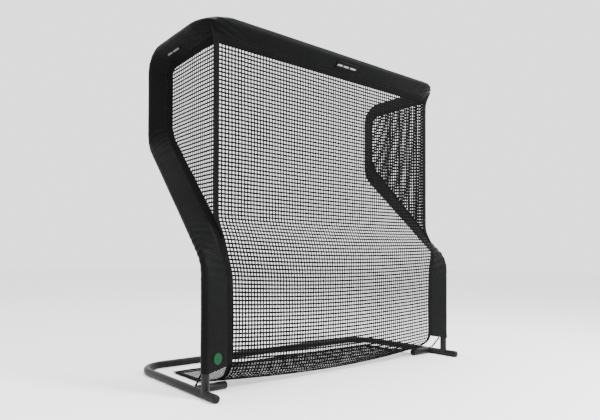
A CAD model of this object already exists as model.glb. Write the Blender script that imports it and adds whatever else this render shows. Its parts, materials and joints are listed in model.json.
"""Visual model of a golf practice net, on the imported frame.

Metres, +Z up. The golfer's side is +Y and the back of the net is -Y. -X is "left".
"""

import json
import math

import bpy
from mathutils import Matrix, Vector, noise

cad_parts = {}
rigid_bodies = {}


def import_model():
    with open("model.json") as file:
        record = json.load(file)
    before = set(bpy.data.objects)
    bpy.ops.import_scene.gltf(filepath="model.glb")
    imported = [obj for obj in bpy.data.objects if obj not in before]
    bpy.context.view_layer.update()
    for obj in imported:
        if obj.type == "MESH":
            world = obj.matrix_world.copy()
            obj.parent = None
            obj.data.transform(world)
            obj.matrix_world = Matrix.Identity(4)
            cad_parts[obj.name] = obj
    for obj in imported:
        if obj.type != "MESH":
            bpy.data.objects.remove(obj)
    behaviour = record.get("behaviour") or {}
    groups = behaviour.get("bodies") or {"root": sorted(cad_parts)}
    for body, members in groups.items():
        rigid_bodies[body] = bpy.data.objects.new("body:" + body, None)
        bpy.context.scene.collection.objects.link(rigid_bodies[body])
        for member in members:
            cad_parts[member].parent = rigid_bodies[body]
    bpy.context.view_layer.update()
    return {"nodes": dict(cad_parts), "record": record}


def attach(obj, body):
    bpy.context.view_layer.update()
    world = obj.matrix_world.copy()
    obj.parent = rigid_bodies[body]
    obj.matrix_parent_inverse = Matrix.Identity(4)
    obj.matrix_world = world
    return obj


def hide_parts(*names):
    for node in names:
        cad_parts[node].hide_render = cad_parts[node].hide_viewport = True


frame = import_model()
BODY = "frame"
SIDES = (("left", -1), ("right", 1))

# ---- Sizes, as in the solids ----
TUBE_RADIUS = 0.025
SPIGOT_RADIUS = 0.0224
SPIGOT_LENGTH = 0.06
SHOULDER = 0.0015
JOINT_GAP = 0.0018
COVER_RADIUS = 0.0270
TAPE_WIDTH = 0.038
STRAP_WIDTH = 0.044
CORD_RADIUS = 0.006
HALF_SPAN = 1.1914
TOP_Z = 2.2584
FLOOR_AXIS_Z = 0.02415
POST_Y = -0.408
UPPER_X = 1.150
UPPER_Y = 0.376
TOP_BAR_Y = -0.375
LOWER_BEND_Z = 0.802
UPPER_BEND_Z = 1.617
BAR_Y = 0.5085
SIDE_BEND = 0.20
TOP_BEND = 0.14
BACK_BEND = 0.20
BAR_BEND = 0.20
BAR_JOINT = 0.215
BACK_END_Y = -0.5335
CAP_DOME = 0.012
STUB_Y = -0.273
STUB_LENGTH = 0.240
HEM_Z = 0.150
NET_TOP_Z = 2.146
NET_BACK_Y = -0.310
NET_HALF = 1.061
STRAP_BOTTOM_Z = 1.060
STRAP_TUCK = 0.120
FLOOR_NET_Z = 0.0045
MESH_PITCH = 0.0252
STRAND_HALF_WIDTH = 0.0057
FLOOR_STRAND_HALF_WIDTH = 0.0030
STRAND_FLATTENS = 0.060
STRAND_HALF_THICKNESS = 0.0016
WING_STRAND_HALF_WIDTH = 0.0061
BEND_STEPS = 16
PIN_BORE = 0.0044
FLANGE_BORE = 0.0064
BORE_REACHES = (0.0115, 0.0199, 0.0200, 0.0340)
HOLE_REACH = 1.2 * SPIGOT_LENGTH
TAPE_LAP = 0.004
SLEEVE_GAP = 0.0015
HEM_WIDTH = 0.038
FRONT_HEM_HALF = 1.018
STRAP_DEPTH = 0.0034
SPLIT_Y = -0.215

# ---- Colours and light ----
PRINT_GREENS = ((0.004, 0.035, 0.012, 1.0), (0.008, 0.050, 0.020, 1.0))
LABEL_GROUND = 0.0020
WORLD_STRENGTH = 2.1

# ---- The camera, fitted to the photograph ----
CAMERA_PLACE = (-2.8034, -2.9639, 0.8223)
CAMERA_YAW = -0.6278
CAMERA_PITCH = -0.0108
CAMERA_ROLL = -0.0033
CAMERA_LENS = 31.126
CAMERA_SHIFT = (0.1006, 0.0698)

TUBES = []  # every tube made, for its button holes


# ---- Paths ----
class Run:
    """A line of points, measured along its length."""

    def __init__(self, points):
        self.points = [Vector(p) for p in points]
        self.marks = [0.0]
        for a, b in zip(self.points, self.points[1:]):
            self.marks.append(self.marks[-1] + (b - a).length)
        self.length = self.marks[-1]

    def at(self, distance):
        low, high = 0, len(self.marks) - 1
        while high - low > 1:
            middle = (low + high) // 2
            if self.marks[middle] <= distance:
                low = middle
            else:
                high = middle
        span = self.marks[high] - self.marks[low]
        return self.points[low].lerp(self.points[high], (distance - self.marks[low]) / span)

    def way(self, distance, reach=0.004):
        return (self.at(distance + reach) - self.at(distance - reach)).normalized()

    def nearest(self, place):
        best = (math.inf, 0.0)
        for a, b, start in zip(self.points, self.points[1:], self.marks):
            span = (b - a).length
            share = min(max((place - a).dot(b - a) / span**2, 0.0), 1.0)
            best = min(best, ((a.lerp(b, share) - place).length, start + share * span))
        return best[1]

    def part(self, start, end):
        """The points of a stretch, with those of its bends kept."""
        inner = [p for p, mark in zip(self.points, self.marks) if start + 0.001 < mark < end - 0.001]
        return [self.at(start)] + inner + [self.at(end)]

    def even(self, count):
        return [self.at(self.length * i / (count - 1)) for i in range(count)]


def rounded_path(corners, radii):
    points = [corners[0]]
    for before, corner, after, radius in zip(corners, corners[1:], corners[2:], radii):
        inward = (before - corner).normalized()
        onward = (after - corner).normalized()
        half_turn = inward.angle(onward) / 2
        setback = radius / math.tan(half_turn)
        centre = corner + (inward + onward).normalized() * radius / math.sin(half_turn)
        start = (corner + inward * setback - centre).normalized()
        end = (corner + onward * setback - centre).normalized()
        for step in range(BEND_STEPS + 1):
            points.append(centre + start.slerp(end, step / BEND_STEPS) * radius)
    points.append(corners[-1])
    return points


def mirrored(sign, x, y, z):
    return Vector((sign * x, y, z))


def side_path(sign):
    corners = [
        mirrored(sign, HALF_SPAN, POST_Y, FLOOR_AXIS_Z),
        mirrored(sign, HALF_SPAN, POST_Y, LOWER_BEND_Z),
        mirrored(sign, UPPER_X, UPPER_Y, UPPER_BEND_Z),
        mirrored(sign, UPPER_X, UPPER_Y, TOP_Z),
        mirrored(sign, UPPER_X, TOP_BAR_Y, TOP_Z),
        mirrored(sign, 0.0, TOP_BAR_Y, TOP_Z),
    ]
    return Run(rounded_path(corners, [SIDE_BEND, SIDE_BEND, TOP_BEND, BACK_BEND]))


EDGE_KEYS = [
    ((HALF_SPAN, POST_Y, HEM_Z), (0.995, -0.400, 0.170)),
    ((HALF_SPAN, POST_Y, 0.700), (0.995, -0.400, 0.715)),
    ((HALF_SPAN, POST_Y, 0.800), (1.030, -0.398, 0.835)),
    ((1.188, -0.310, 0.900), (1.050, -0.383, 0.950)),
    ((1.183, -0.234, 0.983), (NET_HALF, NET_BACK_Y, STRAP_BOTTOM_Z)),
    ((1.156, 0.299, 1.537), (NET_HALF, 0.195, 1.633)),
    ((UPPER_X, UPPER_Y, 1.720), (NET_HALF, 0.241, 1.730)),
    ((UPPER_X, UPPER_Y, 2.110), (NET_HALF, 0.241, 2.100)),
    ((UPPER_X, 0.230, TOP_Z), (NET_HALF, 0.205, 2.134)),
    ((UPPER_X, -0.225, TOP_Z), (NET_HALF, -0.270, NET_TOP_Z)),
    ((1.109, -0.334, TOP_Z), (NET_HALF, NET_BACK_Y, NET_TOP_Z)),
    ((1.005, TOP_BAR_Y, TOP_Z), (1.000, NET_BACK_Y, NET_TOP_Z)),
    ((0.0, TOP_BAR_Y, TOP_Z), (0.0, NET_BACK_Y, NET_TOP_Z)),
]


class Edge:
    """The edge of the nets along one side, as a function of the distance along the side frame."""

    def __init__(self, sign, path):
        self.path = path
        self.keys = [
            (path.nearest(mirrored(sign, *on_frame)), mirrored(sign, *on_net))
            for on_frame, on_net in EDGE_KEYS
        ]

    def sharp(self, distance):
        for (start, a), (end, b) in zip(self.keys, self.keys[1:]):
            if distance <= end:
                return a.lerp(b, max((distance - start) / (end - start), 0.0))
        return self.keys[-1][1]

    def at(self, distance):
        """The edge with its corners softened."""
        reach = 0.035
        steps = 5
        total = Vector()
        for step in range(-steps, steps + 1):
            total += self.sharp(distance + reach * step / steps)
        return total / (2 * steps + 1)


PATHS = {sign: side_path(sign) for _, sign in SIDES}
EDGES = {sign: Edge(sign, PATHS[sign]) for _, sign in SIDES}


def along_side(sign, *place):
    """The distance along one side frame that is nearest to a place given for the right side."""
    return PATHS[sign].nearest(mirrored(sign, *place))


# ---- Material nodes ----
class Nodes:
    """Builds one material's node tree."""

    def __init__(self, name):
        self.material = bpy.data.materials.new(name)
        self.material.use_nodes = True
        self.tree = self.material.node_tree
        self.shader = self.tree.nodes["Principled BSDF"]

    def add(self, kind, **settings):
        node = self.tree.nodes.new(kind)
        for key, value in settings.items():
            setattr(node, key, value)
        return node

    def link(self, source, target):
        self.tree.links.new(source, target)

    def feed(self, socket, value):
        if isinstance(value, (int, float, tuple)):
            socket.default_value = value
        else:
            self.link(value, socket)

    def set(self, node, **numbers):
        for name, number in numbers.items():
            node.inputs[name.replace("_", " ")].default_value = number

    def math(self, operation, a, b=0.0, c=0.0):
        node = self.add("ShaderNodeMath", operation=operation)
        for socket, value in zip(node.inputs, (a, b, c)):
            self.feed(socket, value)
        return node.outputs[0]

    def place(self):
        return self.add("ShaderNodeTexCoord").outputs["Object"]

    def uv(self):
        """The metres along and across the cloth, as two sockets."""
        split = self.add("ShaderNodeSeparateXYZ")
        self.link(self.add("ShaderNodeUVMap", uv_map="cloth").outputs[0], split.inputs[0])
        return split.outputs[0], split.outputs[1]

    def noise(self, vector, scale, detail=3.0, roughness=0.5):
        node = self.add("ShaderNodeTexNoise")
        self.link(vector, node.inputs["Vector"])
        self.set(node, Scale=scale, Detail=detail, Roughness=roughness)
        return node.outputs["Fac"]

    def spread(self, value, out_low, out_high, low=0.3, high=0.7):
        node = self.add("ShaderNodeMapRange")
        self.link(value, node.inputs["Value"])
        self.set(node, From_Min=low, From_Max=high, To_Min=out_low, To_Max=out_high)
        return node.outputs["Result"]

    def mix(self, factor, a, b):
        node = self.add("ShaderNodeMix", data_type="RGBA")
        self.feed(node.inputs["Factor"], factor)
        self.feed(node.inputs["A"], a)
        self.feed(node.inputs["B"], b)
        return node.outputs["Result"]

    def ripples(self, distance, pitch):
        """0 to 1 and back over each pitch."""
        turn = self.math("MULTIPLY", distance, 2 * math.pi / pitch)
        return self.math("MULTIPLY_ADD", self.math("SINE", turn), 0.5, 0.5)

    def bump(self, height, depth, onto=None):
        node = self.add("ShaderNodeBump")
        self.set(node, Strength=1.0, Distance=depth)
        self.link(height, node.inputs["Height"])
        if onto is not None:
            self.link(onto, node.inputs["Normal"])
        return node.outputs[0]

    def finish(self, color, roughness, normal=None, **plain):
        self.feed(self.shader.inputs["Base Color"], color)
        self.feed(self.shader.inputs["Roughness"], roughness)
        if normal is not None:
            self.link(normal, self.shader.inputs["Normal"])
        self.set(self.shader, **plain)
        return self.material


def grey(value, tint=0.0):
    return (value, value * (1 + tint), value * (1 + 1.6 * tint), 1.0)


def weave_height(n, pitch):
    """A plain weave: over and under in turn along both ways of the cloth."""
    along, across = n.uv()
    warp = n.ripples(along, pitch)
    weft = n.ripples(across, pitch)
    return n.math("MULTIPLY", warp, weft)


def stitch_mask(n, along, across, rows, stitch=0.0042, thread=0.0007):
    """1 on the stitches of seams that run along the cloth at these distances across it."""
    total = None
    phase = n.math("FRACT", n.math("DIVIDE", along, stitch))
    on_stitch = n.math("LESS_THAN", phase, 0.72)
    for row in rows:
        off = n.math("ABSOLUTE", n.math("SUBTRACT", across, row))
        on_row = n.math("LESS_THAN", off, thread)
        total = on_row if total is None else n.math("MAXIMUM", total, on_row)
    return n.math("MULTIPLY", total, on_stitch)


def cover_material():
    n = Nodes("cover_cloth")
    where = n.place()
    along, across = n.uv()
    cloudy = n.noise(where, 3.0, 4.0)
    fine = n.noise(where, 420.0, 2.0)
    stitches = stitch_mask(n, along, across, (0.0035, 0.0105))
    dust = n.spread(cloudy, 0.0, 1.0, 0.35, 0.75)
    color = n.mix(dust, grey(0.0011, 0.06), grey(0.0022, 0.08))
    color = n.mix(n.spread(fine, 0.0, 0.5), color, grey(0.0042, 0.06))
    color = n.mix(stitches, color, grey(0.0250))
    roughness = n.spread(n.noise(where, 14.0, 4.0), 0.36, 0.50)
    creases = n.bump(n.noise(where, 16.0, 3.0, 0.45), 0.0035)
    threads = n.bump(weave_height(n, 0.0016), 0.00035, creases)
    raised = n.bump(stitches, 0.0006, threads)
    return n.finish(color, roughness, raised, Specular_IOR_Level=0.052)


def tape_material():
    n = Nodes("woven_tape")
    where = n.place()
    along, across = n.uv()
    ribs = n.ripples(n.math("ADD", along, across), 0.0022)
    counter = n.ripples(n.math("SUBTRACT", along, across), 0.0022)
    twill = n.math("MAXIMUM", ribs, n.math("MULTIPLY", counter, 0.6))
    stitches = stitch_mask(n, along, across, (0.0045, TAPE_WIDTH - 0.0045), 0.005, 0.0008)
    worn = n.spread(n.noise(where, 30.0, 3.0), 0.0, 1.0, 0.35, 0.75)
    color = n.mix(worn, grey(0.0015), grey(0.0030))
    color = n.mix(n.math("MULTIPLY", twill, 0.3), color, grey(0.0070))
    color = n.mix(stitches, color, grey(0.0150))
    roughness = n.spread(n.noise(where, 60.0), 0.72, 0.88)
    normal = n.bump(twill, 0.0004)
    normal = n.bump(stitches, 0.0006, normal)
    return n.finish(color, roughness, normal, Specular_IOR_Level=0.05)


def net_material(name, shade):
    n = Nodes(name)
    where = n.place()
    worn = n.spread(n.noise(where, 9.0, 4.0), 0.0, 1.0)
    fibres = n.noise(where, 900.0, 2.0, 0.6)
    color = n.mix(worn, grey(0.0012 * shade), grey(0.0028 * shade))
    color = n.mix(n.spread(fibres, 0.0, 0.5, 0.45, 0.8), color, grey(0.0070 * shade))
    roughness = n.spread(fibres, 0.70, 0.90)
    return n.finish(color, roughness, n.bump(fibres, 0.0004), Specular_IOR_Level=0.04)


def tube_material():
    n = Nodes("powder_coat_detailed")
    where = n.place()
    peel = n.noise(where, 650.0, 2.0)
    patches = n.noise(where, 7.0, 4.0)
    scuffs = n.spread(n.noise(where, 85.0, 6.0, 0.7), 0.0, 1.0, 0.66, 0.78)
    color = n.mix(n.spread(patches, 0.0, 1.0), grey(0.0050, 0.02), grey(0.0080, 0.03))
    color = n.mix(n.math("MULTIPLY", scuffs, 0.30), color, grey(0.0300))
    roughness = n.spread(patches, 0.34, 0.46)
    return n.finish(color, roughness, n.bump(peel, 0.00025), Specular_IOR_Level=0.14)


def cap_material():
    n = Nodes("moulded_cap")
    where = n.place()
    grain = n.noise(where, 480.0, 3.0)
    color = n.mix(n.spread(grain, 0.0, 1.0, 0.35, 0.7), grey(0.0040), grey(0.0070))
    roughness = n.spread(n.noise(where, 40.0), 0.46, 0.60)
    return n.finish(color, roughness, n.bump(grain, 0.0003), Specular_IOR_Level=0.14)


def weld_material():
    n = Nodes("coated_weld")
    where = n.place()
    scales = n.noise(where, 260.0, 3.0)
    color = n.mix(n.spread(scales, 0.0, 1.0), grey(0.0110), grey(0.0200))
    roughness = n.spread(scales, 0.36, 0.52)
    return n.finish(color, roughness, n.bump(scales, 0.0008), Specular_IOR_Level=0.24)


def steel_material():
    n = Nodes("turned_steel")
    where = n.place()
    marks = n.noise(where, 520.0, 4.0, 0.6)
    color = n.mix(n.spread(marks, 0.0, 1.0), grey(0.30), grey(0.46))
    roughness = n.spread(marks, 0.28, 0.44)
    return n.finish(color, roughness, n.bump(marks, 0.0001), Metallic=1.0)


def cord_material():
    n = Nodes("braided_elastic")
    where = n.place()
    split = n.add("ShaderNodeSeparateXYZ")
    n.link(where, split.inputs[0])
    braid = n.ripples(n.math("ADD", split.outputs[2], split.outputs[0]), 0.0024)
    fibres = n.noise(where, 800.0, 2.0)
    color = n.mix(n.math("MULTIPLY", braid, 0.6), grey(0.0010), grey(0.0040))
    normal = n.bump(fibres, 0.0002, n.bump(braid, 0.0006))
    return n.finish(color, n.spread(fibres, 0.66, 0.82), normal, Specular_IOR_Level=0.08)


def label_material(name, ground, thread, bars, height):
    """A woven patch with plain bars. bars hold (along, across, half length, half width)."""
    n = Nodes(name)
    along, across = n.uv()
    where = n.place()
    ink = None
    for at_along, at_across, half_long, half_wide in bars:
        off_along = n.math("ABSOLUTE", n.math("SUBTRACT", along, at_along))
        off_across = n.math("ABSOLUTE", n.math("SUBTRACT", across, at_across))
        near_along = n.math("LESS_THAN", off_along, half_long)
        near_across = n.math("LESS_THAN", off_across, half_wide)
        bar = n.math("MULTIPLY", near_along, near_across)
        ink = bar if ink is None else n.math("MAXIMUM", ink, bar)
    inset = 0.0025
    border = stitch_mask(n, along, across, (inset, height - inset), 0.004, 0.0006)
    color = n.mix(n.spread(n.noise(where, 300.0), 0.0, 1.0), grey(ground), grey(ground * 1.5))
    color = n.mix(ink, color, thread)
    color = n.mix(border, color, grey(0.03))
    normal = n.bump(weave_height(n, 0.0013), 0.0003)
    normal = n.bump(ink, 0.0003, normal)
    roughness = n.spread(n.noise(where, 90.0), 0.55, 0.72)
    return n.finish(color, roughness, normal, Specular_IOR_Level=0.06)


COVER = cover_material()
TAPE = tape_material()
NET = net_material("net_cord", 1.0)
WING_NET = net_material("wing_net_cord", 6.0)
POWDER = tube_material()
CAP = cap_material()
WELD = weld_material()
STEEL = steel_material()
CORD = cord_material()


# ---- Mesh makers ----
def add_object(name, data):
    obj = bpy.data.objects.new(name, data)
    bpy.context.scene.collection.objects.link(obj)
    return obj


def new_piece(name, verts, faces, material, slot, *nodes, uvs=None, smooth=True):
    mesh = bpy.data.meshes.new(name)
    mesh.from_pydata(verts, [], faces)
    if uvs is not None:
        layer = mesh.uv_layers.new(name="cloth")
        for loop in mesh.loops:
            layer.data[loop.index].uv = uvs[loop.vertex_index]
    mesh.materials.append(material)
    if smooth:
        mesh.shade_smooth()
    obj = add_object(name, mesh)
    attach(obj, BODY)
    if nodes:
        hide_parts(*nodes)
    return obj


def swept(points, radii, sides):
    """A tube's vertices and faces, closed at both ends. radii has one radius for each point."""
    count = len(points)
    tangents = []
    for i in range(count):
        before = points[max(i - 1, 0)]
        after = points[min(i + 1, count - 1)]
        tangents.append((after - before).normalized())
    axis = tangents[0].orthogonal().normalized()
    verts, faces = [], []
    for i in range(count):
        axis = (axis - tangents[i] * axis.dot(tangents[i])).normalized()
        other = tangents[i].cross(axis)
        for side in range(sides):
            turn = 2 * math.pi * side / sides
            verts.append(points[i] + (axis * math.cos(turn) + other * math.sin(turn)) * radii[i])
    for i in range(count - 1):
        for side in range(sides):
            a = i * sides + side
            b = i * sides + (side + 1) % sides
            faces.append((a, b, b + sides, a + sides))
    faces.append(tuple(reversed(range(sides))))
    faces.append(tuple(range((count - 1) * sides, count * sides)))
    return verts, faces


def make_tube(name, points, replaces, spigot=False):
    """A frame tube with softened ends, and the reduced end that the next tube slides over."""
    sides = 36
    way_in = (points[1] - points[0]).normalized()
    way_out = (points[-1] - points[-2]).normalized()
    lip = 0.0008
    line = [points[0], points[0] + way_in * 0.0003, points[0] + way_in * lip]
    radii = [TUBE_RADIUS - lip, TUBE_RADIUS - 0.0002, TUBE_RADIUS]
    line += points[1:-1]
    radii += [TUBE_RADIUS] * (len(points) - 2)
    line += [points[-1] - way_out * lip, points[-1]]
    radii += [TUBE_RADIUS, TUBE_RADIUS - 0.0004]
    if spigot:
        line += [points[-1] + way_out * SHOULDER, points[-1] + way_out * SPIGOT_LENGTH]
        radii += [SPIGOT_RADIUS, SPIGOT_RADIUS]
    verts, faces = swept(line, radii, sides)
    obj = new_piece(name, verts, faces, POWDER, "powder_coat", replaces)
    obj.data.set_sharp_from_angle(angle=math.radians(50))
    TUBES.append(obj)
    return obj


def button_bore(button):
    """The bore that a snap button slides in, with room for its flange, as a solid to cut with."""
    corners = {tuple(round(c, 5) for c in button.matrix_world @ v.co) for v in button.data.vertices}
    centre = sum((Vector(corner) for corner in corners), Vector()) / len(corners)
    if button.name.startswith(("button_corner", "button_floor")):
        on_axis = Vector((centre.x, centre.y, FLOOR_AXIS_Z))
    else:
        path = PATHS[1 if centre.x > 0 else -1]
        on_axis = path.at(path.nearest(centre))
    out = (centre - on_axis).normalized()
    line = [on_axis + out * reach for reach in BORE_REACHES]
    verts, faces = swept(line, [FLANGE_BORE, FLANGE_BORE, PIN_BORE, PIN_BORE], 24)
    mesh = bpy.data.meshes.new("bore")
    mesh.from_pydata(verts, [], faces)
    return add_object("bore", mesh), on_axis + out * TUBE_RADIUS


def drill_tubes():
    """Cuts the hole of each snap button in the tubes that it locks, as the solids have it."""
    bpy.context.view_layer.update()
    buttons = [o for o in bpy.data.objects if o.name.startswith("button_") and o.type == "MESH"]
    bores = [button_bore(button) for button in buttons]
    for tube in TUBES:
        for bore, mouth in bores:
            if min((v.co - mouth).length for v in tube.data.vertices) > HOLE_REACH:
                continue
            cut = tube.modifiers.new("hole", "BOOLEAN")
            cut.operation = "DIFFERENCE"
            cut.solver = "EXACT"
            cut.object = bore
        if tube.modifiers:
            depsgraph = bpy.context.evaluated_depsgraph_get()
            drilled = bpy.data.meshes.new_from_object(tube.evaluated_get(depsgraph))
            tube.modifiers.clear()
            tube.data = drilled
            drilled.set_sharp_from_angle(angle=math.radians(40))
    for bore, _ in bores:
        bpy.data.objects.remove(bore)


def lathe(name, profile, steps, place, out, material, slot, *nodes):
    """A solid of revolution. profile holds (radius, height) from the top down."""
    turn = out.to_track_quat("Z", "Y").to_matrix()
    verts, faces, rings = [], [], []
    for radius, height in profile:
        if radius == 0:
            rings.append([len(verts)])
            verts.append(place + turn @ Vector((0, 0, height)))
            continue
        rings.append(list(range(len(verts), len(verts) + steps)))
        for step in range(steps):
            angle = 2 * math.pi * step / steps
            local = Vector((radius * math.cos(angle), radius * math.sin(angle), height))
            verts.append(place + turn @ local)
    for upper, lower in zip(rings, rings[1:]):
        for step in range(steps):
            after = (step + 1) % steps
            if len(upper) == 1:
                faces.append((upper[0], lower[step], lower[after]))
            elif len(lower) == 1:
                faces.append((upper[step], lower[0], upper[after]))
            else:
                faces.append((upper[step], lower[step], lower[after], upper[after]))
    obj = new_piece(name, verts, faces, material, slot, *nodes)
    obj.data.set_sharp_from_angle(angle=math.radians(42))
    return obj


def sheet_piece(name, rows, uv_rows, thickness, material, slot, *nodes):
    """A closed thin sheet through rows of points, half its thickness to each side."""
    columns = len(rows[0])
    verts = [p for row in rows for p in row]
    uvs = [uv for row in uv_rows for uv in row]
    faces = []
    for i in range(len(rows) - 1):
        for j in range(columns - 1):
            a = i * columns + j
            faces.append((a, a + 1, a + columns + 1, a + columns))
    obj = new_piece(name, verts, faces, material, slot, *nodes, uvs=uvs)
    wall = obj.modifiers.new("wall", "SOLIDIFY")
    wall.thickness = thickness
    wall.offset = 0.0
    return obj


def spacing(start, end, step):
    count = max(round((end - start) / step), 1)
    return [start + (end - start) * i / count for i in range(count + 1)]


# ---- Frame ----
def make_base(side, sign):
    corners = [
        mirrored(sign, HALF_SPAN, BACK_END_Y + CAP_DOME, FLOOR_AXIS_Z),
        mirrored(sign, HALF_SPAN, BAR_Y, FLOOR_AXIS_Z),
        mirrored(sign, HALF_SPAN - BAR_JOINT, BAR_Y, FLOOR_AXIS_Z),
    ]
    lift = Vector((0, 0, TUBE_RADIUS - FLOOR_AXIS_Z))
    arm = [p + lift for p in rounded_path(corners, [BAR_BEND])]
    make_tube("base_arm_tube_" + side, arm, "base_arm_" + side, spigot=True)
    outer = mirrored(sign, HALF_SPAN - BAR_JOINT - JOINT_GAP, BAR_Y, TUBE_RADIUS)
    inner = mirrored(sign, JOINT_GAP / 2, BAR_Y, TUBE_RADIUS)
    make_tube("floor_bar_tube_" + side, [outer, inner], "floor_bar_" + side, spigot=side == "left")
    start = mirrored(sign, HALF_SPAN - TUBE_RADIUS / 3, STUB_Y, TUBE_RADIUS)
    tip = mirrored(sign, HALF_SPAN - STUB_LENGTH + CAP_DOME, STUB_Y, TUBE_RADIUS)
    make_tube("stub_tube_" + side, [start, tip], "stub_" + side)
    arm_end = mirrored(sign, HALF_SPAN, BACK_END_Y + CAP_DOME, TUBE_RADIUS)
    make_cap("arm_end_cap_" + side, arm_end, Vector((0, -1, 0)), "arm_cap_" + side)
    make_cap("stub_end_cap_" + side, tip, Vector((-sign, 0, 0)), "stub_cap_" + side)
    make_welds(side, sign)


def make_cap(name, place, out, replaces):
    rim = TUBE_RADIUS - 0.0002
    profile = [(0.0, CAP_DOME)]
    steps = 9
    for step in range(1, steps + 1):
        angle = math.pi / 2 * step / steps
        profile.append((rim * math.sin(angle) ** 0.85, CAP_DOME * math.cos(angle) ** 0.75 + 0.0006))
    profile[-1] = (rim, 0.0016)
    profile += [(rim, 0.0004), (SPIGOT_RADIUS, 0.0002), (SPIGOT_RADIUS, -0.016), (0.0, -0.016)]
    lathe(name, profile, 40, place, out, CAP, "cap_plastic", replaces)


def bead(name, points, radius):
    """A weld: a closed round bead with the ripple of its passes."""
    sides = 8
    count = len(points)
    verts, faces = [], []
    for i in range(count):
        ahead = (points[(i + 1) % count] - points[i - 1]).normalized()
        axis = Vector((0.31, 0.52, 0.79))
        axis = (axis - ahead * axis.dot(ahead)).normalized()
        other = ahead.cross(axis)
        size = radius * (1 + 0.16 * math.sin(i * 2.1))
        for side in range(sides):
            turn = 2 * math.pi * side / sides
            verts.append(points[i] + (axis * math.cos(turn) + other * math.sin(turn)) * size)
    for i in range(count):
        for side in range(sides):
            a = i * sides + side
            b = i * sides + (side + 1) % sides
            c = (i + 1) % count * sides
            faces.append((a, b, c + (side + 1) % sides, c + side))
    return new_piece(name, verts, faces, WELD, "powder_coat")


def make_welds(side, sign):
    """Where the post's foot and the stub meet the arm, two equal round tubes cross at right angles."""
    steps = 64
    foot, root = [], []
    for step in range(steps):
        turn = 2 * math.pi * step / steps
        one, two = TUBE_RADIUS * math.cos(turn), TUBE_RADIUS * math.sin(turn)
        drop = math.sqrt(max(TUBE_RADIUS**2 - one**2, 0.0))
        keep = 0.16 * TUBE_RADIUS
        foot.append(mirrored(sign, HALF_SPAN + one, POST_Y + two, TUBE_RADIUS + max(drop, keep)))
        height = max(TUBE_RADIUS + one, 0.0035)
        root.append(mirrored(sign, HALF_SPAN - max(drop, keep), STUB_Y + two, height))
    bead("weld_post_" + side, foot, 0.0024)
    bead("weld_stub_" + side, root, 0.0022)


def make_side_tubes(side, sign):
    path = PATHS[sign]
    low = mirrored(sign, HALF_SPAN, POST_Y, LOWER_BEND_Z)
    high = mirrored(sign, UPPER_X, UPPER_Y, UPPER_BEND_Z)
    diagonal = path.nearest(low.lerp(high, 0.52))
    upper = path.nearest(mirrored(sign, UPPER_X, UPPER_Y, 1.95))
    side_top = path.nearest(mirrored(sign, UPPER_X, -0.05, TOP_Z))
    middle = path.length - JOINT_GAP / 2
    make_tube("post_tube_" + side, path.part(0.012, diagonal), "post_" + side, True)
    line = path.part(diagonal + JOINT_GAP, upper)
    make_tube("diagonal_tube_" + side, line, "side_tube_" + side, True)
    line = path.part(upper + JOINT_GAP, side_top)
    make_tube("corner_tube_" + side, line, "side_top_tube_" + side, True)
    line = path.part(side_top + JOINT_GAP, middle)
    make_tube("top_tube_" + side, line, "top_bar_" + side, side == "left")


# ---- Covers ----
BENDS = [
    ((HALF_SPAN, POST_Y, LOWER_BEND_Z + 0.06), 0.16, 0.0165, 0.050, -0.95),
    ((UPPER_X, UPPER_Y, UPPER_BEND_Z), 0.14, 0.0075, 0.055, -0.30),
    ((UPPER_X, UPPER_Y, TOP_Z), 0.12, 0.0075, 0.060, 0.50),
    ((UPPER_X, TOP_BAR_Y, TOP_Z), 0.19, 0.0110, 0.120, 2.60),
]


def cover_ring(sign, distance):
    """One ring of a cover, as points with the distance across the cloth and the way out of it."""
    path, edge = PATHS[sign], EDGES[sign].at(distance)
    centre = path.at(distance)
    along = path.way(distance)
    towards = edge - centre
    shift = along * towards.dot(along)
    towards -= shift
    reach = towards.length - TAPE_WIDTH
    outward = towards.normalized()
    across = along.cross(outward) * -sign
    slope = math.asin(COVER_RADIUS / reach)
    tangent = math.pi / 2 - slope
    seam = centre + outward * reach + shift * (reach / towards.length)
    flat_steps, wrap_steps = 9, 24
    flat = math.sqrt(reach**2 - COVER_RADIUS**2)
    arc = (2 * math.pi - 2 * tangent) * COVER_RADIUS
    ring = []
    first_out = outward * math.cos(tangent) + across * math.sin(tangent)
    last_out = outward * math.cos(tangent) - across * math.sin(tangent)
    first, last = centre + first_out * COVER_RADIUS, centre + last_out * COVER_RADIUS
    for step in range(flat_steps):
        share = step / flat_steps
        ring.append((seam.lerp(first, share), flat * share, first_out))
    for step in range(wrap_steps + 1):
        angle = tangent + (2 * math.pi - 2 * tangent) * step / wrap_steps
        out = outward * math.cos(angle) + across * math.sin(angle)
        ring.append((centre + out * COVER_RADIUS, flat + arc * step / wrap_steps, out))
    closing = 0.985
    for step in range(1, flat_steps + 1):
        share = closing * step / flat_steps
        ring.append((last.lerp(seam, share), flat + arc + flat * share, last_out))
    return ring


def bend_marks(sign):
    return [(along_side(sign, *place), *shape) for place, *shape in BENDS]


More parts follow.
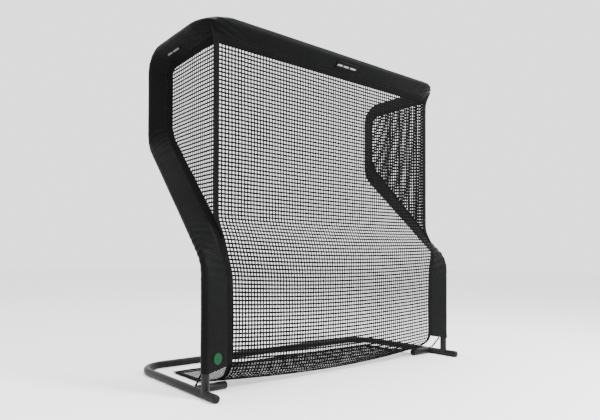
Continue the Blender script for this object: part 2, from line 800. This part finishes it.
def cloth_lift(distance, across, width, place, marks, hem):
    """How far the cloth stands off its tight shape: soft waves, and folds gathered at each bend."""
    lift = 0.0012 * (1 + noise.noise(place * 5.0))
    from_seam = min(across, width - across)
    for centre, reach, depth, pitch, lean in marks:
        weight = math.exp(-(((distance - centre) / reach) ** 2))
        if weight < 0.02:
            continue
        wander = 0.22 * noise.noise(place * 5.0)
        turn = ((distance - centre) + lean * from_seam + 4.0 * from_seam**2) / pitch + wander
        ridge = 0.5 + 0.5 * math.sin(2 * math.pi * turn)
        patch = 0.75 + 0.6 * noise.noise(Vector((turn * 0.9, from_seam * 9, centre)))
        fade = math.exp(-((from_seam / 0.10) ** 2))
        lift += depth * weight * ridge**2 * max(patch, 0.0) * (0.15 + 0.85 * fade)
    if hem is not None:
        rise = abs(distance - hem)
        lift += 0.0022 * math.exp(-((rise / 0.035) ** 2)) * (1 + 0.5 * math.sin(across * 60))
    return lift


def cover_rows(sign, start, end, hem):
    marks = bend_marks(sign)
    rows, uv_rows = [], []
    for distance in spacing(start, end, 0.0060):
        ring = cover_ring(sign, distance)
        width = ring[-1][1]
        row = []
        for place, across, out in ring:
            from_seam = min(across, width - across)
            ease = min(from_seam / 0.02, 1.0)
            row.append(place + out * ease * cloth_lift(distance, across, width, place, marks, hem))
        rows.append(row)
        uv_rows.append([(distance, min(across, width - across)) for _, across, _ in ring])
    return rows, uv_rows


def across_top(make_rows, split, *more):
    """The rows of a piece from the split of one side, across the top, to the split of the other."""
    middle = PATHS[-1].length - 0.005
    rows, uvs = make_rows(-1, split + SLEEVE_GAP, middle, *more)
    right_rows, right_uvs = make_rows(1, split + SLEEVE_GAP, middle, *more)
    rows += list(reversed(right_rows))
    uvs += [[(2 * middle - u + 0.01, v) for u, v in row] for row in reversed(right_uvs)]
    return rows, uvs, middle


def cover_width(sign, start, end):
    widths = [cover_ring(sign, d)[-1][1] for d in spacing(start, end, 0.05)]
    return sum(widths) / len(widths)


def make_covers(split):
    for side, sign in SIDES:
        start = along_side(sign, HALF_SPAN, POST_Y, HEM_Z)
        rows, uvs = cover_rows(sign, start, split, start)
        obj = sheet_piece("cover_" + side, rows, uvs, 0.0012, COVER, "sleeve_fabric", "sleeve_" + side)
        width = cover_width(sign, start, split)
    rows, uvs, middle = across_top(cover_rows, split, None)
    obj = sheet_piece("cover_top", rows, uvs, 0.0012, COVER, "sleeve_fabric", "sleeve_top")
    width = cover_width(-1, split, middle)


# ---- Tapes, straps and hems ----
def tape_rows(sign, start, end):
    rows, uv_rows = [], []
    steps = 4
    for distance in spacing(start, end, 0.0095):
        edge = EDGES[sign].at(distance)
        centre = PATHS[sign].at(distance)
        along = PATHS[sign].way(distance)
        towards = edge - centre
        across_length = (towards - along * towards.dot(along)).length
        share = (TAPE_WIDTH + TAPE_LAP) / across_length
        row = [edge.lerp(centre, share * step / steps) for step in range(steps + 1)]
        ripple = 0.0009 * noise.noise(Vector((distance * 16, sign, 2.7)))
        normal = along.cross(towards).normalized() * -sign
        rows.append([p + normal * (ripple + 0.0004) for p in row])
        uv_rows.append([(distance, TAPE_WIDTH * step / steps) for step in range(steps + 1)])
    return rows, uv_rows


def make_tapes(split):
    thickness = 0.0022
    for side, sign in SIDES:
        start = along_side(sign, HALF_SPAN, POST_Y, HEM_Z)
        rows, uvs = tape_rows(sign, start, split)
        obj = sheet_piece("tape_" + side, rows, uvs, thickness, TAPE, "webbing", "edge_tape_" + side)
    rows, uvs, _ = across_top(tape_rows, split)
    obj = sheet_piece("tape_top", rows, uvs, thickness, TAPE, "webbing", "edge_tape_top")


def make_strap(side, sign):
    rows, uv_rows = [], []
    steps = 4
    for distance in spacing(0.0, STRAP_RUN.length, 0.012):
        middle = STRAP_RUN.at(distance)
        wander = 0.0012 * noise.noise(Vector((middle.z * 5, sign * 3.0, 1.3)))
        tucked = min(max(STRAP_BOTTOM_Z + 0.02 - middle.z, 0.0) / STRAP_TUCK, 1.0)
        width = STRAP_WIDTH * (1 - 0.8 * tucked)
        row = []
        for step in range(steps + 1):
            x = middle.x + width * (step / steps - 0.5)
            row.append(mirrored(sign, x + wander, middle.y - STRAP_DEPTH, middle.z))
        rows.append(row)
        uv_rows.append([(distance, width * step / steps) for step in range(steps + 1)])
    obj = sheet_piece("vertical_strap_" + side, rows, uv_rows, 0.002, TAPE, "webbing", "strap_" + side)


# ---- Nets ----
# The main net from top to hem: its side as (x, y, z), and its middle as (y, z).
SIDE_LINE = [
    (1.042, NET_BACK_Y, 2.146), (1.042, NET_BACK_Y, 1.600), (1.042, NET_BACK_Y, 1.060),
    (1.048, -0.383, 0.950), (1.028, -0.398, 0.835), (0.996, -0.400, 0.715), (0.990, -0.400, 0.440),
    (0.994, -0.400, 0.200), (1.000, -0.385, 0.135), (0.994, -0.345, 0.098), (0.990, -0.290, 0.066),
    (0.988, -0.226, 0.044), (0.986, -0.156, 0.026), (0.985, -0.080, 0.013),
    (0.984, 0.020, FLOOR_NET_Z), (0.984, 0.264, FLOOR_NET_Z),
]
MIDDLE_LINE = [
    (NET_BACK_Y, 2.146), (-0.314, 1.600), (-0.316, 1.060), (-0.370, 0.950), (-0.398, 0.835),
    (-0.402, 0.715), (-0.404, 0.440), (-0.402, 0.200), (-0.397, 0.110), (-0.370, 0.064),
    (-0.330, 0.035), (-0.285, 0.018), (-0.235, 0.008), (-0.170, FLOOR_NET_Z),
    (-0.060, FLOOR_NET_Z), (0.264, FLOOR_NET_Z),
]
# Each strap starts under the cover and is tucked under the edge tape at its foot.
STRAP_LINE = [
    (NET_HALF + 0.042, NET_BACK_Y - 0.020, NET_TOP_Z + 0.096),
    (NET_HALF, NET_BACK_Y, NET_TOP_Z - 0.004), (NET_HALF, NET_BACK_Y, 1.600),
    (NET_HALF, NET_BACK_Y, STRAP_BOTTOM_Z), (1.054, -0.383, 0.950),
]


def softened(points, step=0.008, passes=26):
    """The line through the points with its corners rounded, at an even step."""
    run = Run(points)
    line = run.even(max(round(run.length / step), 2) + 1)
    for _ in range(passes):
        middle = [(a + b * 2 + c) / 4 for a, b, c in zip(line, line[1:], line[2:])]
        line = [line[0]] + middle + [line[-1]]
    return Run(line)


STRAP_RUN = softened(STRAP_LINE)
SIDE_RUN = softened(SIDE_LINE)
MIDDLE_RUN = softened([(0.0, y, z) for y, z in MIDDLE_LINE])


def main_net_point(across, down):
    """A point of the main net. across runs from -1 to 1, and down from 0 at the top to 1 at the hem."""
    side = SIDE_RUN.at(SIDE_RUN.length * down)
    middle = MIDDLE_RUN.at(MIDDLE_RUN.length * down)
    share = 1 - across**2
    x = side.x * across
    y = side.y + (middle.y - side.y) * share
    z = side.z + (middle.z - side.z) * share
    slack = (1 - across**8) * math.sin(math.pi * min(down * 1.25, 1.0)) ** 0.5 if down < 0.8 else 0.0
    wave = noise.noise(Vector((x * 2.1, down * 5.0, 0.4)))
    wave += 0.45 * noise.noise(Vector((x * 6.0, down * 13.0, 3.3)))
    y += 0.0075 * slack * wave
    jitter = noise.noise(Vector((x * 24, down * 64, 8.8)))
    x += 0.0016 * jitter * (1 - across**8)
    z += 0.0012 * noise.noise(Vector((x * 26, down * 60, 5.1))) * slack
    return Vector((x, y, max(z, FLOOR_NET_Z)))


def add_strand(verts, faces, points, normals, half_width=STRAND_HALF_WIDTH):
    """One flat knitted cord of the net through its crossings, with a four-sided section."""
    first = len(verts)
    count = len(points)
    for i in range(count):
        ahead = (points[min(i + 1, count - 1)] - points[max(i - 1, 0)]).normalized()
        out = (normals[i] - ahead * normals[i].dot(ahead)).normalized()
        thick = out * STRAND_HALF_THICKNESS
        raised = min(max(points[i].z - FLOOR_NET_Z, 0.0) / STRAND_FLATTENS, 1.0)
        wide = ahead.cross(out) * (FLOOR_STRAND_HALF_WIDTH * (1 - raised) + half_width * raised)
        for corner in (thick, wide, -thick, -wide):
            verts.append(points[i] + corner)
    for i in range(count - 1):
        for side in range(4):
            a = first + i * 4 + side
            b = first + i * 4 + (side + 1) % 4
            faces.append((a, b, b + 4, a + 4))
    faces.append((first + 3, first + 2, first + 1, first))
    last = first + (count - 1) * 4
    faces.append((last, last + 1, last + 2, last + 3))


def make_main_net():
    columns = round(2 * 1.042 / MESH_PITCH)
    rows = round(SIDE_RUN.length / MESH_PITCH)
    grid = [
        [main_net_point(2 * c / columns - 1, r / rows) for c in range(columns + 1)]
        for r in range(rows + 1)
    ]
    normals = []
    for r in range(rows + 1):
        line = []
        for c in range(columns + 1):
            down = grid[min(r + 1, rows)][c] - grid[max(r - 1, 0)][c]
            across = grid[r][min(c + 1, columns)] - grid[r][max(c - 1, 0)]
            line.append(down.cross(across).normalized())
        normals.append(line)
    verts, faces = [], []
    for r in range(rows + 1):
        add_strand(verts, faces, grid[r], normals[r])
    for c in range(columns + 1):
        line = [grid[r][c] for r in range(rows + 1)]
        outs = [normals[r][c] for r in range(rows + 1)]
        add_strand(verts, faces, line, outs)
    obj = new_piece("main_net_mesh", verts, faces, NET, "netting", "main_net")


def make_side_net(side, sign):
    """The flat wing net, cut to the line of the edge tape."""
    start = along_side(sign, 1.183, -0.234, 0.983)
    end = along_side(sign, 1.109, -0.334, TOP_Z)
    outline = [EDGES[sign].at(d) for d in spacing(start, end, 0.01)]
    back = NET_BACK_Y - 0.001
    front = max(p.y for p in outline)
    lower = [p for p in outline if p.z < 1.75]
    upper = [p for p in outline if p.z > 2.0]

    def bound(line, value, axis, other, fallback):
        for a, b in zip(line, line[1:]):
            if min(a[axis], b[axis]) <= value <= max(a[axis], b[axis]) and a[axis] != b[axis]:
                return a[other] + (b[other] - a[other]) * (value - a[axis]) / (b[axis] - a[axis])
        return fallback

    verts, faces = [], []
    out = Vector((sign, 0, 0))
    plane = NET_HALF - 0.002
    deep = round((front - back) / MESH_PITCH)
    ys = [back + MESH_PITCH * i for i in range(deep + 1)]
    tall = round((NET_TOP_Z - STRAP_BOTTOM_Z) / MESH_PITCH)
    zs = [NET_TOP_Z - MESH_PITCH * i for i in range(tall + 1)]

    def point(y, z):
        belly = math.sin(math.pi * min(max((y - back) / (front - back), 0), 1))
        bulge = 0.006 * belly * (0.6 + noise.noise(Vector((y * 4, z * 3, sign))))
        wander = 0.0013 * noise.noise(Vector((y * 25, z * 25, sign * 2.0)))
        return mirrored(sign, plane + bulge, y + wander, z + wander)

    def lay(line):
        add_strand(verts, faces, line, [out] * len(line), WING_STRAND_HALF_WIDTH)

    for y in ys:
        low = bound(lower, y, 1, 2, 1.70)
        high = bound(upper, y, 1, 2, 2.12)
        stops = [low] + [z for z in reversed(zs) if low + 0.004 < z < high - 0.004] + [high]
        lay([point(y, z) for z in stops])
    for z in zs:
        limit = front
        if z < 1.75:
            limit = bound(lower, z, 2, 1, front)
        elif z > 2.07:
            limit = bound([p for p in upper if p.y > 0.0], z, 2, 1, front if z < 2.1 else -0.2)
        stops = [y for y in ys if y < limit - 0.004] + [limit]
        if len(stops) > 1:
            lay([point(y, z) for y in stops])
    obj = new_piece("side_net_mesh_" + side, verts, faces, WING_NET, "netting", "side_net_" + side)


# The front hem's section, as (y, z) from its edge on the net to its edge on the floor.
FRONT_HEM = [(0.262, 0.0095), (0.271, 0.0140), (0.284, 0.0145), (0.296, 0.0100), (0.300, 0.0040)]


def make_hems():
    """The webbing round the part of the net on the floor, folded over the net's edge."""
    start = SIDE_RUN.nearest(Vector((1.000, -0.385, 0.135)))
    for side, sign in SIDES:
        rows, uv_rows = [], []
        steps = 3
        for distance in spacing(start - 0.05, SIDE_RUN.length, 0.012):
            on_net = SIDE_RUN.at(distance)
            wander = 0.0015 * noise.noise(Vector((distance * 9, sign, 6.6)))
            row = []
            for step in range(steps + 1):
                share = step / steps
                x = on_net.x - 0.004 + HEM_WIDTH * share
                lift = 0.0032 + 0.0085 * math.sin(share * math.pi)
                row.append(mirrored(sign, x + wander, on_net.y, max(on_net.z, 0.0028) + lift))
            rows.append(row)
            uv_rows.append([(distance, TAPE_WIDTH * step / steps) for step in range(steps + 1)])
        obj = sheet_piece("floor_hem_" + side, rows, uv_rows, 0.002, TAPE, "webbing", "hem_side_" + side)
    rows, uv_rows = [], []
    for x in spacing(-FRONT_HEM_HALF, FRONT_HEM_HALF, 0.012):
        ripple = 0.004 * noise.noise(Vector((x * 2.2, 0.0, 9.2)))
        lift = 0.0012 * abs(noise.noise(Vector((x * 5.0, 1.0, 4.2))))
        row, uv_row = [], []
        for y, z in FRONT_HEM:
            row.append(Vector((x, y + ripple, z + lift)))
            uv_row.append((x, y - FRONT_HEM[0][0]))
        rows.append(row)
        uv_rows.append(uv_row)
    obj = sheet_piece("floor_hem_front", rows, uv_rows, 0.002, TAPE, "webbing", "hem_front")


# ---- Cords, studs and labels ----
def make_tie_cord(side, sign):
    stud_y = STUB_Y - 0.014
    arm_top = 2 * TUBE_RADIUS
    low = mirrored(sign, HALF_SPAN, stud_y - 0.0135, arm_top + 0.0065)
    high = mirrored(sign, HALF_SPAN, POST_Y + 0.0396, HEM_Z - CORD_RADIUS)
    points = [high.lerp(low, step / 16) for step in range(17)]
    verts, faces = swept(points, [CORD_RADIUS] * len(points), 14)
    obj = new_piece("elastic_tie_" + side, verts, faces, CORD, "elastic_cord", "tie_cord_" + side)
    profile = [(0.0, 0.0125), (0.0055, 0.0120), (0.0070, 0.0105), (0.0070, 0.0085), (0.0048, 0.0070)]
    profile += [(0.0048, 0.0020), (0.0062, 0.0006), (0.0062, -0.0010), (0.0, -0.0010)]
    place = mirrored(sign, HALF_SPAN, stud_y, arm_top)
    up = Vector((0, 0, 1))
    lathe("tie_stud_" + side, profile, 24, place, up, STEEL, "bare_steel", "cord_stud_" + side)


def cover_spot(sign, distance, reach):
    """A point of a cover's back side this far from the tube's axis, and the way out of it."""
    centre = PATHS[sign].at(distance)
    along = PATHS[sign].way(distance)
    towards = EDGES[sign].at(distance) - centre
    towards -= along * towards.dot(along)
    outward = towards.normalized()
    out = along.cross(outward) * sign
    seam = towards.length - TAPE_WIDTH
    slope = math.asin(COVER_RADIUS / seam)
    on_flat = COVER_RADIUS * math.sin(slope)
    normal = out * math.cos(slope) + outward * math.sin(slope)
    if reach >= on_flat:
        return centre + outward * reach + out * (seam - reach) * math.tan(slope), normal
    turn = slope + (on_flat - reach) / COVER_RADIUS
    normal = (out * math.cos(turn - slope) + outward * math.sin(slope - (turn - slope))).normalized()
    return centre + normal * COVER_RADIUS, normal


def make_patch(name, sign, frame_place, reaches, length, material, replaces):
    """A sewn label that follows the cover's surface."""
    middle = along_side(sign, *frame_place)
    rows, uv_rows = [], []
    low, high = reaches
    for i, distance in enumerate(spacing(middle - length / 2, middle + length / 2, length / 14)):
        row, uv_row = [], []
        for j, reach in enumerate(spacing(low, high, (high - low) / 8)):
            place, out = cover_spot(sign, distance, reach)
            row.append(place + out * 0.0044)
            uv_row.append((length * i / 14, (high - low) * j / 8))
        rows.append(row)
        uv_rows.append(uv_row)
    obj = sheet_piece(name, rows, uv_rows, 0.0009, material, "label_print", replaces)


def make_labels():
    top = label_material(
        "woven_label_top",
        LABEL_GROUND,
        grey(0.25),
        [(0.042, 0.030, 0.030, 0.0060), (0.112, 0.030, 0.026, 0.0060), (0.176, 0.030, 0.024, 0.0060)],
        0.058,
    )
    place = (0.037, TOP_BAR_Y, TOP_Z)
    make_patch("woven_label_top_patch", 1, place, (0.012, 0.070), 0.217, top, "label_top")
    side = label_material(
        "woven_label_side",
        LABEL_GROUND,
        grey(0.16),
        [(0.048, 0.013, 0.030, 0.0045), (0.126, 0.013, 0.036, 0.0045)],
        0.026,
    )
    place = (UPPER_X, 0.105, TOP_Z)
    make_patch("woven_label_side_patch", -1, place, (0.043, 0.069), 0.180, side, "label_side")
    n = Nodes("round_print")
    where = n.place()
    speckle = n.noise(where, 420.0, 3.0)
    color = n.mix(n.spread(speckle, 0.0, 1.0), *PRINT_GREENS)
    roughness = n.spread(speckle, 0.5, 0.7)
    round_print = n.finish(color, roughness, n.bump(speckle, 0.0002), Specular_IOR_Level=0.06)
    distance = along_side(-1, HALF_SPAN, POST_Y, 0.227)
    place, out = cover_spot(-1, distance, 0.076)
    profile = [(0.0, 0.0052), (0.0325, 0.0052), (0.0345, 0.0046), (0.0345, 0.0036), (0.0, 0.0036)]
    lathe("round_mark", profile, 48, place, out, round_print, "label_print", "label_round")


def paint_cad_nodes():
    finishes = {"bare_steel": STEEL, "powder_coat": POWDER}
    slots = {entry["node"]: entry["material_slot"] for entry in frame["record"]["subparts"]}
    for name, obj in frame["nodes"].items():
        finish = finishes.get(slots[name])
        if finish is not None:
            for slot in obj.material_slots:
                slot.material = finish


# ---- Stage ----
def make_floor():
    half = 30.0
    mesh = bpy.data.meshes.new("studio_floor")
    corners = [(-half, -half, 0), (half, -half, 0), (half, half, 0), (-half, half, 0)]
    mesh.from_pydata(corners, [], [(0, 1, 2, 3)])
    n = Nodes("studio_floor")
    mesh.materials.append(n.finish(grey(0.94), 0.7, Specular_IOR_Level=0.1))
    floor = add_object("studio_floor", mesh)


def add_area(name, place, target, size, power):
    light = bpy.data.lights.new(name, "AREA")
    light.shape = "DISK"
    light.size = size
    light.energy = power
    obj = add_object(name, light)
    obj.location = place
    obj.rotation_euler = (Vector(target) - Vector(place)).to_track_quat("-Z", "Y").to_euler()


def make_lights():
    world = bpy.data.worlds.new("studio")
    world.use_nodes = True
    background = world.node_tree.nodes["Background"].inputs
    background["Color"].default_value = (1, 1, 1, 1)
    background["Strength"].default_value = WORLD_STRENGTH
    bpy.context.scene.world = world
    centre = (0.0, 0.0, 1.1)
    add_area("key", (1.6, -4.6, 4.4), centre, 1.5, 700)
    add_area("top", (-1.0, 0.4, 5.5), centre, 3.0, 260)


def make_camera():
    yaw, pitch, roll = CAMERA_YAW, CAMERA_PITCH, CAMERA_ROLL
    forward_flat = Vector((-math.sin(yaw), math.cos(yaw), 0.0))
    right_flat = Vector((math.cos(yaw), math.sin(yaw), 0.0))
    up = Vector((0, 0, 1))
    forward = forward_flat * math.cos(pitch) - up * math.sin(pitch)
    level_up = right_flat.cross(forward)
    right = right_flat * math.cos(roll) - level_up * math.sin(roll)
    true_up = right.cross(forward)
    data = bpy.data.cameras.new("camera")
    data.sensor_width = 36.0
    data.lens = CAMERA_LENS
    data.shift_x, data.shift_y = CAMERA_SHIFT
    camera = add_object("camera", data)
    turn = Matrix((right, true_up, -forward)).transposed()
    camera.matrix_world = Matrix.Translation(CAMERA_PLACE) @ turn.to_4x4()
    bpy.context.scene.camera = camera


def main():
    make_camera()
    for side, sign in SIDES:
        make_tie_cord(side, sign)
    for side, sign in SIDES:
        make_base(side, sign)
        make_side_tubes(side, sign)
    drill_tubes()
    split = along_side(-1, UPPER_X, SPLIT_Y, TOP_Z)
    make_covers(split)
    make_tapes(split)
    for side, sign in SIDES:
        make_strap(side, sign)
        make_side_net(side, sign)
    make_main_net()
    make_hems()
    make_labels()
    paint_cad_nodes()
    make_floor()
    make_lights()


main()
